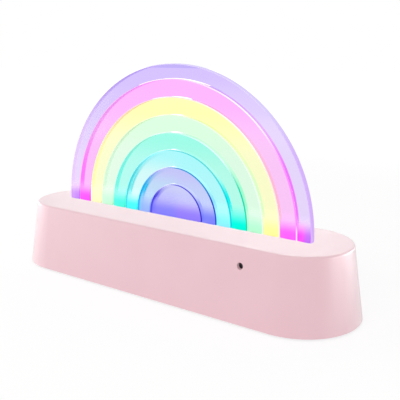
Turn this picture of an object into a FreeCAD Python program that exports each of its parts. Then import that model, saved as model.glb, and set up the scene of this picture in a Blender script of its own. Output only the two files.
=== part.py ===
# Rainbow lamp: seven nested acrylic arches and a half disc stand on a tapered base
# that holds their lights, a microphone, a rechargeable cell and the rear controls.
# Millimetres. +X runs along the base, the front faces -Y, and +Z is up from the table.

import FreeCAD, Part
import math
import os
import Sketcher

Vector = FreeCAD.Vector
doc = FreeCAD.newDocument("RainbowLamp")

# Driving dimensions
driving = {
    # base, a tapered shell with round ends, its cover and its feet
    "base_length": 250.0,
    "base_width": 72.5,
    "base_height": 43.0,
    "base_draft": 6.5,
    "base_wall": 2.4,
    "top_wall": 2.6,
    "rim_round": 1.6,
    "foot_stand": 0.8,
    "foot_radius": 5.5,
    "foot_recess": 0.9,
    "foot_end_inset": 25.0,
    "foot_side_inset": 21.25,
    "plate_inset": 0.3,
    "plate_thickness": 2.2,
    "plate_lip": 1.4,
    "plate_clearance": 0.25,
    # screw posts between the shell and its cover
    "post_end_inset": 39.0,
    "post_side_inset": 15.25,
    "post_radius": 3.5,
    "cup_radius": 4.5,
    "cup_rise": 3.0,
    "cup_depth": 3.0,
    "base_screw_radius": 1.3,
    "base_screw_length": 9.0,
    "base_head_radius": 2.4,
    "base_head_height": 1.8,
    "screw_clearance": 0.2,
    "thread_clearance": 0.05,
    # nested light guides
    "end_margin": 22.5,
    "centre_radius": 21.0,
    "rim_band": 9.0,
    "guide_gap": 0.3,
    "guide_thickness": 4.0,
    "guide_bevel": 0.4,
    "foot_rise": 0.5,
    "tab_shoulder": 1.6,
    "tab_length": 6.6,
    "tab_clearance": 0.15,
    # tray of light cells under the top, and its board of lights
    "tray_width": 13.0,
    "tray_height": 8.0,
    "tray_end": 3.0,
    "ear_length": 11.0,
    "ear_thickness": 2.6,
    "ear_screw_y": 3.8,
    "tray_post_radius": 2.6,
    "small_screw_radius": 0.9,
    "small_screw_length": 7.0,
    "small_head_radius": 1.8,
    "small_head_height": 1.4,
    "board_thickness": 1.6,
    "led_side": 3.5,
    "led_height": 1.6,
    "led_lens_side": 2.6,
    "led_lens_depth": 0.2,
    "led_clearance": 0.4,
    "centre_led_pitch": 12.0,
    # control board on the cover
    "board_length": 62.0,
    "board_width": 24.0,
    "board_rise": 5.0,
    "board_gap": 1.0,
    "board_post_radius": 2.5,
    "board_hole_inset": 3.2,
    "board_screw_length": 5.0,
    "chip_length": 10.0,
    "chip_width": 6.2,
    "chip_height": 1.7,
    "chip_place_x": -6.0,
    # charging socket in the rear wall
    "usb_place_x": 15.0,
    "usb_width": 8.94,
    "usb_height": 3.26,
    "usb_depth": 7.35,
    "usb_wall": 0.35,
    "usb_clearance": 0.25,
    "usb_recess_width": 13.5,
    "usb_recess_height": 8.0,
    "usb_recess_least": 0.4,
    "tongue_width": 6.6,
    "tongue_height": 0.7,
    "tongue_gap": 1.0,
    # mode button in the rear wall and its switch
    "button_place_x": -18.0,
    "button_radius": 5.0,
    "button_clearance": 0.25,
    "button_proud": 0.9,
    "button_round": 0.7,
    "button_travel": 0.5,
    "flange_radius": 6.3,
    "flange_thickness": 1.2,
    "flange_gap": 0.1,
    "stem_radius": 2.0,
    "stem_length": 1.3,
    "guide_boss_radius": 7.4,
    "guide_boss_depth": 1.2,
    "switch_width": 6.0,
    "switch_depth": 4.0,
    "switch_height": 6.6,
    "plunger_height": 3.4,
    "plunger_radius": 1.7,
    "plunger_reach": 1.4,
    "plunger_length": 3.0,
    "plunger_clearance": 0.15,
    # microphone behind the hole in the front wall
    "mic_end_inset": 57.1,
    "mic_drop": 10.6,
    "mic_hole_radius": 2.0,
    "mic_radius": 3.0,
    "mic_length": 5.0,
    "mic_boss_wall": 1.1,
    "mic_boss_depth": 5.3,
    "grommet_wall": 1.1,
    "grommet_lip": 1.0,
    "grommet_overhang": 0.6,
    "grommet_clearance": 0.1,
    # rechargeable cell in snap saddles on the cover
    "cell_radius": 9.2,
    "cell_length": 65.0,
    "cell_bevel": 0.8,
    "cell_place_x": -40.0,
    "cell_side_inset": 23.25,
    "cell_rise": 1.2,
    "cell_clearance": 0.1,
    "saddle_reach": 20.0,
    "saddle_thickness": 2.4,
    "saddle_wall": 1.9,
    "saddle_snap": 4.0,
    # inner leads and their connectors
    "lead_radius": 0.6,
    "lead_pitch": 2.0,
    "lead_bend": 4.0,
    "plug_height": 4.4,
    "plug_depth": 6.0,
    "shroud_wall": 0.8,
    "plug_overhang": 1.5,
    "plug_clearance": 0.1,
    "battery_plug_x": 6.0,
    "led_plug_x": 24.0,
    "led_plug_inset": 9.4,
    "led_lead_y": 2.0,
    "lead_drop": 6.0,
    "mic_lead_y": 15.0,
    "mic_lead_rise": 9.0,
    "mic_pad_x": 16.0,
}
sheet = doc.addObject("Spreadsheet::Sheet", "Sizes")
for row, (alias, number) in enumerate(driving.items(), start=1):
    sheet.set("A%d" % row, alias)
    sheet.set("B%d" % row, str(number))
    sheet.setAlias("B%d" % row, alias)

# Places and sizes that follow from the driving dimensions
worked_out = {
    "base_top": "Sizes.foot_stand + Sizes.base_height",
    "roof": "base_top - Sizes.top_wall",
    "slope": "Sizes.base_draft / Sizes.base_height",
    "half_width": "Sizes.base_width / 2",
    "half_length": "Sizes.base_length / 2",
    "foot_place_x": "half_length - Sizes.foot_end_inset",
    "foot_place_y": "half_width - Sizes.foot_side_inset",
    "post_place_x": "half_length - Sizes.post_end_inset",
    "post_place_y": "half_width - Sizes.post_side_inset",
    "plate_low": "Sizes.foot_stand + Sizes.plate_inset",
    "plate_top": "plate_low + Sizes.plate_thickness",
    "plate_length": "Sizes.base_length - 2 * Sizes.plate_lip - 2 * Sizes.plate_clearance",
    "plate_width": "Sizes.base_width - 2 * Sizes.plate_lip - 2 * Sizes.plate_clearance",
    "cup_top": "plate_top + Sizes.cup_rise",
    "base_screw_seat": "plate_low + Sizes.cup_depth",
    "arc_centre": "base_top + Sizes.foot_rise",
    "tab_low": "base_top - Sizes.tab_length",
    "cell_floor": "tab_low - Sizes.tab_clearance",
    "tray_low": "roof - Sizes.tray_height",
    "ear_top": "tray_low + Sizes.ear_thickness",
    "outer_radius": "half_length - Sizes.base_draft - Sizes.end_margin",
    "band_pitch": "(outer_radius - Sizes.rim_band - Sizes.centre_radius) / 6",
    "tray_half": "outer_radius - Sizes.tab_shoulder + Sizes.tray_end",
    "ear_half": "tray_half + Sizes.ear_length",
    "ear_screw_x": "tray_half + Sizes.ear_length / 2",
    "light_board_low": "tray_low - Sizes.board_thickness",
    "small_hole_radius": "Sizes.small_screw_radius + Sizes.screw_clearance",
    "small_thread_radius": "Sizes.small_screw_radius + Sizes.thread_clearance",
    "board_low": "plate_top + Sizes.board_rise",
    "board_top": "board_low + Sizes.board_thickness",
    "board_rear": "half_width - Sizes.base_wall - slope * (board_top - Sizes.foot_stand) - Sizes.board_gap",
    "board_front": "board_rear - Sizes.board_width",
    "usb_centre": "board_top + Sizes.usb_height / 2",
    "usb_recess_top": "usb_centre + Sizes.usb_recess_height / 2",
    "usb_face": "half_width - slope * (usb_recess_top - Sizes.foot_stand) - Sizes.usb_recess_least",
    "button_level": "board_top + Sizes.plunger_height",
    "button_hole": "Sizes.button_radius + Sizes.button_clearance",
    "button_wall": "half_width - slope * (button_level - Sizes.foot_stand)",
    "button_reach": "button_wall + Sizes.button_proud + 2 * slope * Sizes.button_radius",
    "guide_boss_top": "button_level + Sizes.guide_boss_radius - Sizes.foot_stand",
    "guide_boss_y": "half_width - Sizes.base_wall - slope * guide_boss_top - Sizes.guide_boss_depth",
    "flange_rear": "guide_boss_y - Sizes.flange_gap",
    "flange_front": "flange_rear - Sizes.flange_thickness",
    "plunger_tip": "flange_front - Sizes.stem_length",
    "switch_rear": "plunger_tip - Sizes.plunger_reach",
    "switch_bore": "Sizes.plunger_length - Sizes.plunger_reach + 2 * Sizes.button_travel",
    "notch_front": "flange_front - 2 * Sizes.button_travel",
    "mic_place_x": "half_length - Sizes.mic_end_inset",
    "mic_place_z": "base_top - Sizes.mic_drop",
    "grommet_radius": "Sizes.mic_radius + Sizes.grommet_clearance / 2 + Sizes.grommet_wall",
    "mic_boss_bore": "grommet_radius + Sizes.grommet_clearance",
    "mic_boss_radius": "mic_boss_bore + Sizes.mic_boss_wall",
    "mic_wall": "half_width - Sizes.base_wall - slope * (mic_place_z + grommet_radius - Sizes.foot_stand)",
    "mic_boss_y": "mic_wall - Sizes.mic_boss_depth",
    "cell_level": "plate_top + Sizes.cell_rise + Sizes.cell_radius",
    "cell_place_y": "Sizes.cell_side_inset - half_width",
    "saddle_bore": "Sizes.cell_radius + Sizes.cell_clearance",
    "led_plug_y": "board_front + Sizes.led_plug_inset",
}
places = doc.addObject("Spreadsheet::Sheet", "Places")
for row, (alias, formula) in enumerate(worked_out.items(), start=1):
    places.set("A%d" % row, alias)
    places.set("B%d" % row, "=" + formula)
    places.setAlias("B%d" % row, alias)
doc.recompute()

# The outer radius of each light guide's band, from the half disc to the outermost arch
guide_names = ["centre", "periwinkle", "cyan", "mint", "green", "yellow", "pink", "lavender"]
arches = range(1, len(guide_names))


def band_edge(index):
    if index == arches[-1]:
        return "Places.outer_radius"
    return "(Sizes.centre_radius + %d * Places.band_pitch)" % index


def guide_outer(index):
    if index == arches[-1]:
        return "Places.outer_radius"
    return "(%s - Sizes.guide_gap / 2)" % band_edge(index)


def guide_inner(index):
    return "(%s + Sizes.guide_gap / 2)" % band_edge(index - 1)


def tab_sides(index):
    # low and high X of the tabs under one light guide
    high = "%s - Sizes.tab_shoulder" % guide_outer(index)
    if index == 0:
        return [("-(%s)" % high, high)]
    low = "%s + Sizes.tab_shoulder" % guide_inner(index)
    return [("-(%s)" % high, "-(%s)" % low), (low, high)]


tabs = [sides for index in range(len(guide_names)) for sides in tab_sides(index)]


# Reading sizes and drawing

reader = doc.addObject("Spreadsheet::Sheet", "Reader")


def amount(expression):
    # value of an expression over the two sheets, read through a cell that nothing depends on
    reader.set("A1", "=" + expression)
    reader.recompute()
    return float(reader.get("A1"))


def new_body(label):
    body = doc.addObject("PartDesign::Body", label)
    body.Label = label
    return body


def new_sketch(body, name, role, level):
    plane = [item for item in body.Origin.OriginFeatures if item.Role == role][0]
    sketch = body.newObject("Sketcher::SketchObject", name)
    sketch.AttachmentSupport = [(plane, "")]
    sketch.MapMode = "FlatFace"
    sketch.setExpression(".AttachmentOffset.Base.z", level)
    return sketch


def drive(sketch, expression, kind, *where):
    index = sketch.addConstraint(Sketcher.Constraint(kind, *where, amount(expression)))
    sketch.setExpression("Constraints[%d]" % index, expression)


def fix_point(sketch, element, end, across, up):
    drive(sketch, across, "DistanceX", -1, 1, element, end)
    drive(sketch, up, "DistanceY", -1, 1, element, end)


def polygon(sketch, corners):
    points = [Vector(amount(across), amount(up), 0) for across, up in corners]
    sides = []
    for start, end in zip(points, points[1:] + points[:1]):
        sides.append(sketch.addGeometry(Part.LineSegment(start, end)))
    for side, following in zip(sides, sides[1:] + sides[:1]):
        sketch.addConstraint(Sketcher.Constraint("Coincident", side, 2, following, 1))
    for side, (across, up) in zip(sides, corners):
        fix_point(sketch, side, 1, across, up)


def rectangle(sketch, left, right, low, high):
    polygon(sketch, [(left, low), (right, low), (right, high), (left, high)])


def circle(sketch, across, up, radius):
    centre = Vector(amount(across), amount(up), 0)
    ring = sketch.addGeometry(Part.Circle(centre, Vector(0, 0, 1), amount(radius)))
    fix_point(sketch, ring, 3, across, up)
    drive(sketch, radius, "Radius", ring)


def obround(sketch, length, width, across="0", up="0"):
    reach = "((%s) - (%s)) / 2" % (length, width)
    radius = amount(width) / 2
    middle = Vector(amount(across), amount(up), 0)
    side = Vector(amount(reach), 0, 0)
    rise = Vector(0, radius, 0)
    quarter = math.pi / 2
    right_arc = Part.ArcOfCircle(Part.Circle(middle + side, Vector(0, 0, 1), radius), -quarter, quarter)
    left_arc = Part.ArcOfCircle(Part.Circle(middle - side, Vector(0, 0, 1), radius), quarter, 3 * quarter)
    right = sketch.addGeometry(right_arc)
    upper = sketch.addGeometry(Part.LineSegment(middle + side + rise, middle - side + rise))
    left = sketch.addGeometry(left_arc)
    lower = sketch.addGeometry(Part.LineSegment(middle - side - rise, middle + side - rise))
    for first, second in ((right, upper), (upper, left), (left, lower), (lower, right)):
        sketch.addConstraint(Sketcher.Constraint("Tangent", first, 2, second, 1))
    sketch.addConstraint(Sketcher.Constraint("Horizontal", upper))
    sketch.addConstraint(Sketcher.Constraint("Horizontal", lower))
    fix_point(sketch, right, 3, "(%s) + %s" % (across, reach), up)
    drive(sketch, "(%s) - %s" % (across, reach), "DistanceX", -1, 1, left, 3)
    drive(sketch, "(%s) / 2" % width, "Radius", right)


def half_ring(sketch, outer, inner, centre, foot):
    # half ring on short straight feet, or a half disc where there is no inner radius
    level = amount(centre)
    low = amount(foot)
    middle = Vector(0, level, 0)
    straight = "Vertical"

    def arc(radius):
        return sketch.addGeometry(Part.ArcOfCircle(Part.Circle(middle, Vector(0, 0, 1), radius), 0, math.pi))

    def line(start, end, kind):
        index = sketch.addGeometry(Part.LineSegment(Vector(*start, 0), Vector(*end, 0)))
        sketch.addConstraint(Sketcher.Constraint(kind, index))
        return index

    def join(kind, first, first_end, second, second_end):
        sketch.addConstraint(Sketcher.Constraint(kind, first, first_end, second, second_end))

    wide = amount(outer)
    outside = arc(wide)
    sketch.addConstraint(Sketcher.Constraint("PointOnObject", outside, 3, -2))
    drive(sketch, centre, "DistanceY", -1, 1, outside, 3)
    drive(sketch, outer, "Radius", outside)
    left = line((-wide, level), (-wide, low), straight)
    right = line((wide, low), (wide, level), straight)
    join("Tangent", outside, 2, left, 1)
    join("Tangent", right, 2, outside, 1)
    drive(sketch, foot, "DistanceY", -1, 1, left, 2)
    if inner is None:
        base = line((-wide, low), (wide, low), "Horizontal")
        join("Coincident", left, 2, base, 1)
        join("Coincident", base, 2, right, 1)
        return
    narrow = amount(inner)
    inside = arc(narrow)
    join("Coincident", inside, 3, outside, 3)
    drive(sketch, inner, "Radius", inside)
    left_inner = line((-narrow, low), (-narrow, level), straight)
    right_inner = line((narrow, level), (narrow, low), straight)
    join("Tangent", left_inner, 2, inside, 2)
    join("Tangent", inside, 1, right_inner, 1)
    left_base = line((-wide, low), (-narrow, low), "Horizontal")
    right_base = line((narrow, low), (wide, low), "Horizontal")
    join("Coincident", left, 2, left_base, 1)
    join("Coincident", left_base, 2, left_inner, 1)
    join("Coincident", right_inner, 2, right_base, 1)
    join("Coincident", right_base, 2, right, 1)
    drive(sketch, foot, "DistanceY", -1, 1, right_base, 1)


# Features

def add(body, name, sketch, length, toward, taper=None):
    doc.recompute()
    pad = body.newObject("PartDesign::Pad", name)
    pad.Profile = sketch
    pad.setExpression("Length", length)
    if taper:
        pad.setExpression("TaperAngle", taper)
    normal = sketch.Placement.Rotation.multVec(Vector(0, 0, 1))
    pad.Reversed = normal.dot(toward) < 0
    doc.recompute()
    return pad


def add_up_to_wall(body, name, sketch, toward):
    doc.recompute()
    pad = body.newObject("PartDesign::Pad", name)
    pad.Profile = sketch
    pad.Type = "UpToFirst"
    normal = sketch.Placement.Rotation.multVec(Vector(0, 0, 1))
    pad.Reversed = normal.dot(toward) < 0
    doc.recompute()
    return pad


def cut(body, name, sketch, depth, toward, taper=None):
    doc.recompute()
    before = body.Shape.Volume
    pocket = body.newObject("PartDesign::Pocket", name)
    pocket.Profile = sketch
    pocket.setExpression("Length", depth)
    if taper:
        pocket.setExpression("TaperAngle", taper)
    normal = sketch.Placement.Rotation.multVec(Vector(0, 0, 1))
    pocket.Reversed = normal.dot(toward) > 0
    doc.recompute()
    if body.Shape.Volume >= before:
        raise ValueError("%s cuts nothing from %s" % (name, body.Label))
    return pocket


def soften(body, kind, name, pick, size_name, measure):
    # fillet or chamfer on the edges that pick chooses by their place
    base = body.Tip
    names = ["Edge%d" % (k + 1) for k, edge in enumerate(base.Shape.Edges) if pick(edge)]
    feature = body.newObject(kind, name)
    feature.Base = (base, names)
    feature.setExpression(size_name, measure)
    doc.recompute()
    return feature


def at_level(level, axis="Z"):
    def pick(edge):
        box = edge.BoundBox
        return abs(getattr(box, axis + "Min") - level) < 1e-4 and abs(getattr(box, axis + "Max") - level) < 1e-4
    return pick


def block(label, low, high):
    # box between two corners, each an expression per axis
    box = doc.addObject("Part::Box", label)
    box.Label = label
    for side, axis, start, end in zip(("Length", "Width", "Height"), "xyz", low, high):
        box.setExpression(side, "(%s) - (%s)" % (end, start))
        box.setExpression(".Placement.Base.%s" % axis, start)
    return box


turns = {
    "+X": FreeCAD.Rotation(Vector(0, 1, 0), 90),
    "+Y": FreeCAD.Rotation(Vector(1, 0, 0), -90),
    "-Y": FreeCAD.Rotation(Vector(1, 0, 0), 90),
    "+Z": FreeCAD.Rotation(),
}


def rod(label, radius, length, start, heading):
    # cylinder from its start, along a heading
    item = doc.addObject("Part::Cylinder", label)
    item.Label = label
    item.setExpression("Radius", radius)
    item.setExpression("Height", length)
    item.Placement = FreeCAD.Placement(Vector(), turns[heading])
    for axis, place in zip("xyz", start):
        item.setExpression(".Placement.Base.%s" % axis, place)
    return item


def without(label, base, tool):
    item = doc.addObject("Part::Cut", label)
    item.Label = label
    item.Base = base
    item.Tool = tool
    return item


def together(label, items):
    item = doc.addObject("Part::MultiFuse", label)
    item.Label = label
    item.Shapes = items
    return item


def solids(label, shapes):
    # several separate solids under one name
    item = doc.addObject("Part::Feature", label)
    item.Label = label
    item.Shape = Part.Compound(shapes)
    item.Placement = FreeCAD.Placement()
    return item


both = (-1, 1)
right_way = Vector(1, 0, 0)
rear_way = Vector(0, 1, 0)
front_way = Vector(0, -1, 0)
up_way = Vector(0, 0, 1)
down_way = Vector(0, 0, -1)


def four_corners(across, up):
    return [("%d * (%s)" % (h, across), "%d * (%s)" % (v, up)) for h in both for v in both]


post_corners = four_corners("Places.post_place_x", "Places.post_place_y")
ear_corners = four_corners("Places.ear_screw_x", "Sizes.ear_screw_y")
foot_corners = four_corners("Places.foot_place_x", "Places.foot_place_y")
board_hole_x = "(Sizes.board_length / 2 - Sizes.board_hole_inset)"
board_holes = [
    ("%d * %s" % (side, board_hole_x), depth)
    for side in both
    for depth in ("Places.board_front + Sizes.board_hole_inset", "Places.board_rear - Sizes.board_hole_inset")
]


# Base shell: a moulded tub with sloping walls, round ends and an open underside

def make_base_shell():
    body = new_body("base_shell")
    lean = "-atan(Places.slope)"
    outside = new_sketch(body, "Outside", "XY_Plane", "Sizes.foot_stand")
    obround(outside, "Sizes.base_length", "Sizes.base_width")
    add(body, "OuterForm", outside, "Sizes.base_height", up_way, lean)
    soften(body, "PartDesign::Fillet", "RimRound", at_level(amount("Places.base_top")), "Radius", "Sizes.rim_round")

    # the hollow leans as the outside does, one wall thickness inside it
    inside = new_sketch(body, "Inside", "XY_Plane", "Sizes.foot_stand")
    obround(inside, "Sizes.base_length - 2 * Sizes.base_wall", "Sizes.base_width - 2 * Sizes.base_wall")
    cut(body, "Hollow", inside, "Places.roof - Sizes.foot_stand", up_way, lean)
    rebate = new_sketch(body, "CoverRebate", "XY_Plane", "Sizes.foot_stand")
    obround(rebate, "Sizes.base_length - 2 * Sizes.plate_lip", "Sizes.base_width - 2 * Sizes.plate_lip")
    cut(body, "CoverSeat", rebate, "Places.plate_top - Sizes.foot_stand", up_way)

    # posts for the cover's screws and for the tray's screws
    posts = new_sketch(body, "CoverPosts", "XY_Plane", "Places.cup_top")
    for across, up in post_corners:
        circle(posts, across, up, "Sizes.post_radius")
    add(body, "CoverPostsPad", posts, "Places.roof - Places.cup_top", up_way)
    bores = new_sketch(body, "CoverBores", "XY_Plane", "Places.cup_top")
    for across, up in post_corners:
        circle(bores, across, up, "Sizes.base_screw_radius + Sizes.thread_clearance")
    cut(body, "CoverBoresCut", bores, "Sizes.base_screw_length", up_way)
    stubs = new_sketch(body, "TrayPosts", "XY_Plane", "Places.ear_top")
    for across, up in ear_corners:
        circle(stubs, across, up, "Sizes.tray_post_radius")
    add(body, "TrayPostsPad", stubs, "Places.roof - Places.ear_top", up_way)
    threads = new_sketch(body, "TrayBores", "XY_Plane", "Places.ear_top")
    for across, up in ear_corners:
        circle(threads, across, up, "Places.small_thread_radius")
    cut(body, "TrayBoresCut", threads, "Places.roof - Places.ear_top", up_way)

    # one slot in the top for each tab of the light guides
    slots = new_sketch(body, "TabSlots", "XY_Plane", "Places.base_top")
    half = "(Sizes.guide_thickness / 2 + Sizes.tab_clearance)"
    for low, high in tabs:
        left = "%s - Sizes.tab_clearance" % low
        rectangle(slots, left, "%s + Sizes.tab_clearance" % high, "-%s" % half, half)
    cut(body, "TabSlotsCut", slots, "Sizes.top_wall", down_way)

    # microphone socket and hole in the front wall
    socket = new_sketch(body, "MicrophoneBoss", "XZ_Plane", "Places.mic_boss_y")
    circle(socket, "Places.mic_place_x", "Places.mic_place_z", "Places.mic_boss_radius")
    circle(socket, "Places.mic_place_x", "Places.mic_place_z", "Places.mic_boss_bore")
    add_up_to_wall(body, "MicrophoneBossPad", socket, front_way)
    hole = new_sketch(body, "MicrophoneHole", "XZ_Plane", "Places.half_width")
    circle(hole, "Places.mic_place_x", "Places.mic_place_z", "Sizes.mic_hole_radius")
    cut(body, "MicrophoneHoleCut", hole, "Places.half_width - Places.mic_boss_y", rear_way)

    # button guide and hole in the rear wall
    guide = new_sketch(body, "ButtonGuide", "XZ_Plane", "-Places.guide_boss_y")
    circle(guide, "Sizes.button_place_x", "Places.button_level", "Sizes.guide_boss_radius")
    circle(guide, "Sizes.button_place_x", "Places.button_level", "Places.button_hole")
    add_up_to_wall(body, "ButtonGuidePad", guide, rear_way)
    opening = new_sketch(body, "ButtonHole", "XZ_Plane", "-Places.half_width")
    circle(opening, "Sizes.button_place_x", "Places.button_level", "Places.button_hole")
    cut(body, "ButtonHoleCut", opening, "Places.half_width - Places.guide_boss_y", front_way)

    # charging port: a shallow upright recess, with a slot through the wall for the socket
    recess = new_sketch(body, "PortRecess", "XZ_Plane", "-Places.half_width")
    obround(recess, "Sizes.usb_recess_width", "Sizes.usb_recess_height", "Sizes.usb_place_x", "Places.usb_centre")
    cut(body, "PortRecessCut", recess, "Places.half_width - Places.usb_face", front_way)
    port = new_sketch(body, "PortSlot", "XZ_Plane", "-Places.half_width")
    spare = "2 * Sizes.usb_clearance"
    port_width = "Sizes.usb_width + %s" % spare
    port_height = "Sizes.usb_height + %s" % spare
    obround(port, port_width, port_height, "Sizes.usb_place_x", "Places.usb_centre")
    cut(body, "PortSlotCut", port, "Places.half_width - Places.board_rear + Sizes.board_gap", front_way)
    return body


# Base cover: a flat plate with screw cups, foot recesses, board posts and cell saddles

def make_base_plate():
    body = new_body("base_plate")
    outline = new_sketch(body, "Outline", "XY_Plane", "Places.plate_low")
    obround(outline, "Places.plate_length", "Places.plate_width")
    add(body, "Plate", outline, "Sizes.plate_thickness", up_way)
    cups = new_sketch(body, "Cups", "XY_Plane", "Places.plate_top")
    for across, up in post_corners:
        circle(cups, across, up, "Sizes.cup_radius")
    add(body, "CupsPad", cups, "Sizes.cup_rise", up_way)
    sinks = new_sketch(body, "CupSinks", "XY_Plane", "Places.plate_low")
    for across, up in post_corners:
        circle(sinks, across, up, "Sizes.base_head_radius + Sizes.screw_clearance")
    cut(body, "CupSinksCut", sinks, "Sizes.cup_depth", up_way)
    holes = new_sketch(body, "CupHoles", "XY_Plane", "Places.plate_low")
    for across, up in post_corners:
        circle(holes, across, up, "Sizes.base_screw_radius + Sizes.screw_clearance")
    cut(body, "CupHolesCut", holes, "Places.cup_top - Places.plate_low", up_way)
    recesses = new_sketch(body, "FootRecesses", "XY_Plane", "Places.plate_low")
    for across, up in foot_corners:
        circle(recesses, across, up, "Sizes.foot_radius + Sizes.plate_clearance")
    cut(body, "FootRecessesCut", recesses, "Sizes.foot_recess", up_way)
    posts = new_sketch(body, "BoardPosts", "XY_Plane", "Places.plate_top")
    for across, up in board_holes:
        circle(posts, across, up, "Sizes.board_post_radius")
    add(body, "BoardPostsPad", posts, "Sizes.board_rise", up_way)
    threads = new_sketch(body, "BoardBores", "XY_Plane", "Places.board_low")
    for across, up in board_holes:
        circle(threads, across, up, "Places.small_thread_radius")
    cut(body, "BoardBoresCut", threads, "Sizes.board_rise", down_way)

    # the saddles' horns close in above the cell's middle, so that it snaps in
    half = "(Places.saddle_bore + Sizes.saddle_wall)"
    for name, side in (("LeftSaddle", -1), ("RightSaddle", 1)):
        level = "Sizes.cell_place_x + %d * Sizes.saddle_reach - Sizes.saddle_thickness / 2" % side
        rib = new_sketch(body, name, "YZ_Plane", level)
        low_y = "Places.cell_place_y - %s" % half
        high_y = "Places.cell_place_y + %s" % half
        rectangle(rib, low_y, high_y, "Places.plate_top", "Places.cell_level + Sizes.saddle_snap")
        add(body, name + "Rib", rib, "Sizes.saddle_thickness", right_way)
        bore = new_sketch(body, name + "Round", "YZ_Plane", level)
        circle(bore, "Places.cell_place_y", "Places.cell_level", "Places.saddle_bore")
        cut(body, name + "Bore", bore, "Sizes.saddle_thickness", right_way)
    return body


# Light guides: clear bars bent to half rings, on tabs that stand in the base

def make_guide(index, name):
    body = new_body("guide_" + name)
    half = "Sizes.guide_thickness / 2"
    ring = new_sketch(body, "Ring", "XZ_Plane", half)
    inner = guide_inner(index) if index else None
    half_ring(ring, guide_outer(index), inner, "Places.arc_centre", "Places.base_top")
    add(body, "RingPad", ring, "Sizes.guide_thickness", rear_way)

    def long_edge(edge):
        front = amount(half)
        box = edge.BoundBox
        flat = abs(box.YMax - box.YMin) < 1e-4 and abs(abs(box.YMax) - front) < 1e-4
        return flat and box.ZMax > amount("Places.base_top") + 1e-4
    soften(body, "PartDesign::Chamfer", "Bevel", long_edge, "Size", "Sizes.guide_bevel")
    feet = new_sketch(body, "Tabs", "XZ_Plane", half)
    for low, high in tab_sides(index):
        rectangle(feet, low, high, "Places.tab_low", "Places.base_top")
    add(body, "TabsPad", feet, "Sizes.guide_thickness", rear_way)
    return body


# Light tray: a white bar under the top with one walled cell for each tab

def make_light_tray():
    body = new_body("light_tray")
    half = "Sizes.tray_width / 2"
    bar = new_sketch(body, "Bar", "XY_Plane", "Places.tray_low")
    rectangle(bar, "-Places.tray_half", "Places.tray_half", "-%s" % half, half)
    add(body, "BarPad", bar, "Sizes.tray_height", up_way)
    ears = new_sketch(body, "Ears", "XY_Plane", "Places.tray_low")
    rectangle(ears, "-Places.ear_half", "Places.ear_half", "-%s" % half, half)
    add(body, "EarsPad", ears, "Sizes.ear_thickness", up_way)
    holes = new_sketch(body, "EarHoles", "XY_Plane", "Places.tray_low")
    for across, up in ear_corners:
        circle(holes, across, up, "Places.small_hole_radius")
    cut(body, "EarHolesCut", holes, "Sizes.ear_thickness", up_way)
    cells = new_sketch(body, "Cells", "XY_Plane", "Places.roof")
    depth = "(Sizes.guide_thickness / 2 + Sizes.tab_clearance)"
    for low, high in tabs:
        left = "%s - Sizes.tab_clearance" % low
        rectangle(cells, left, "%s + Sizes.tab_clearance" % high, "-%s" % depth, depth)
    cut(body, "CellsCut", cells, "Places.roof - Places.cell_floor", down_way)
    windows = new_sketch(body, "Windows", "XY_Plane", "Places.tray_low")
    room = "(Sizes.led_side / 2 + Sizes.led_clearance)"
    for across in light_places:
        rectangle(windows, "%s - %s" % (across, room), "%s + %s" % (across, room), "-%s" % room, room)
    cut(body, "WindowsCut", windows, "Places.cell_floor - Places.tray_low", up_way)
    return body


light_places = ["%d * Sizes.centre_led_pitch" % step for step in (-1, 0, 1)]
light_places += ["((%s) + (%s)) / 2" % sides for index in arches for sides in tab_sides(index)]


# Lights and their board

def make_lights():
    side = amount("Sizes.led_side")
    height = amount("Sizes.led_height")
    lens = amount("Sizes.led_lens_side")
    lens_depth = amount("Sizes.led_lens_depth")
    level = amount("Places.tray_low")
    shapes = []
    for across in light_places:
        corner = Vector(amount(across) - side / 2, -side / 2, level)
        package = Part.makeBox(side, side, height, corner)
        lens_corner = Vector(amount(across) - lens / 2, -lens / 2, level + height - lens_depth)
        shapes.append(package.cut(Part.makeBox(lens, lens, lens_depth, lens_corner)))
    return solids("lights", shapes)


def make_light_board():
    body = new_body("light_board")
    half = "Sizes.tray_width / 2"
    outline = new_sketch(body, "Outline", "XY_Plane", "Places.light_board_low")
    rectangle(outline, "-Places.ear_half", "Places.ear_half", "-%s" % half, half)
    add(body, "Board", outline, "Sizes.board_thickness", up_way)
    holes = new_sketch(body, "Holes", "XY_Plane", "Places.light_board_low")
    for across, up in ear_corners:
        circle(holes, across, up, "Places.small_hole_radius")
    cut(body, "HolesCut", holes, "Sizes.board_thickness", up_way)
    return body


# Control board with a notch for the button's flange

def make_control_board():
    body = new_body("control_board")
    outline = new_sketch(body, "Outline", "XY_Plane", "Places.board_low")
    half = "Sizes.board_length / 2"
    notch = "(Sizes.guide_boss_radius + Sizes.board_gap / 2)"
    notch_left = "Sizes.button_place_x - %s" % notch
    notch_right = "Sizes.button_place_x + %s" % notch
    polygon(outline, [
        ("-%s" % half, "Places.board_front"),
        (half, "Places.board_front"),
        (half, "Places.board_rear"),
        (notch_right, "Places.board_rear"),
        (notch_right, "Places.notch_front"),
        (notch_left, "Places.notch_front"),
        (notch_left, "Places.board_rear"),
        ("-%s" % half, "Places.board_rear"),
    ])
    add(body, "Board", outline, "Sizes.board_thickness", up_way)
    holes = new_sketch(body, "Holes", "XY_Plane", "Places.board_low")
    for across, up in board_holes:
        circle(holes, across, up, "Places.small_hole_radius")
    cut(body, "HolesCut", holes, "Sizes.board_thickness", up_way)
    return body


def make_chip():
    middle = "(Places.board_front + Places.board_rear) / 2"
    low = ("Sizes.chip_place_x - Sizes.chip_length / 2", "%s - Sizes.chip_width / 2" % middle, "Places.board_top")
    high = (
        "Sizes.chip_place_x + Sizes.chip_length / 2",
        "%s + Sizes.chip_width / 2" % middle,
        "Places.board_top + Sizes.chip_height",
    )
    return block("control_chip", low, high)


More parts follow.
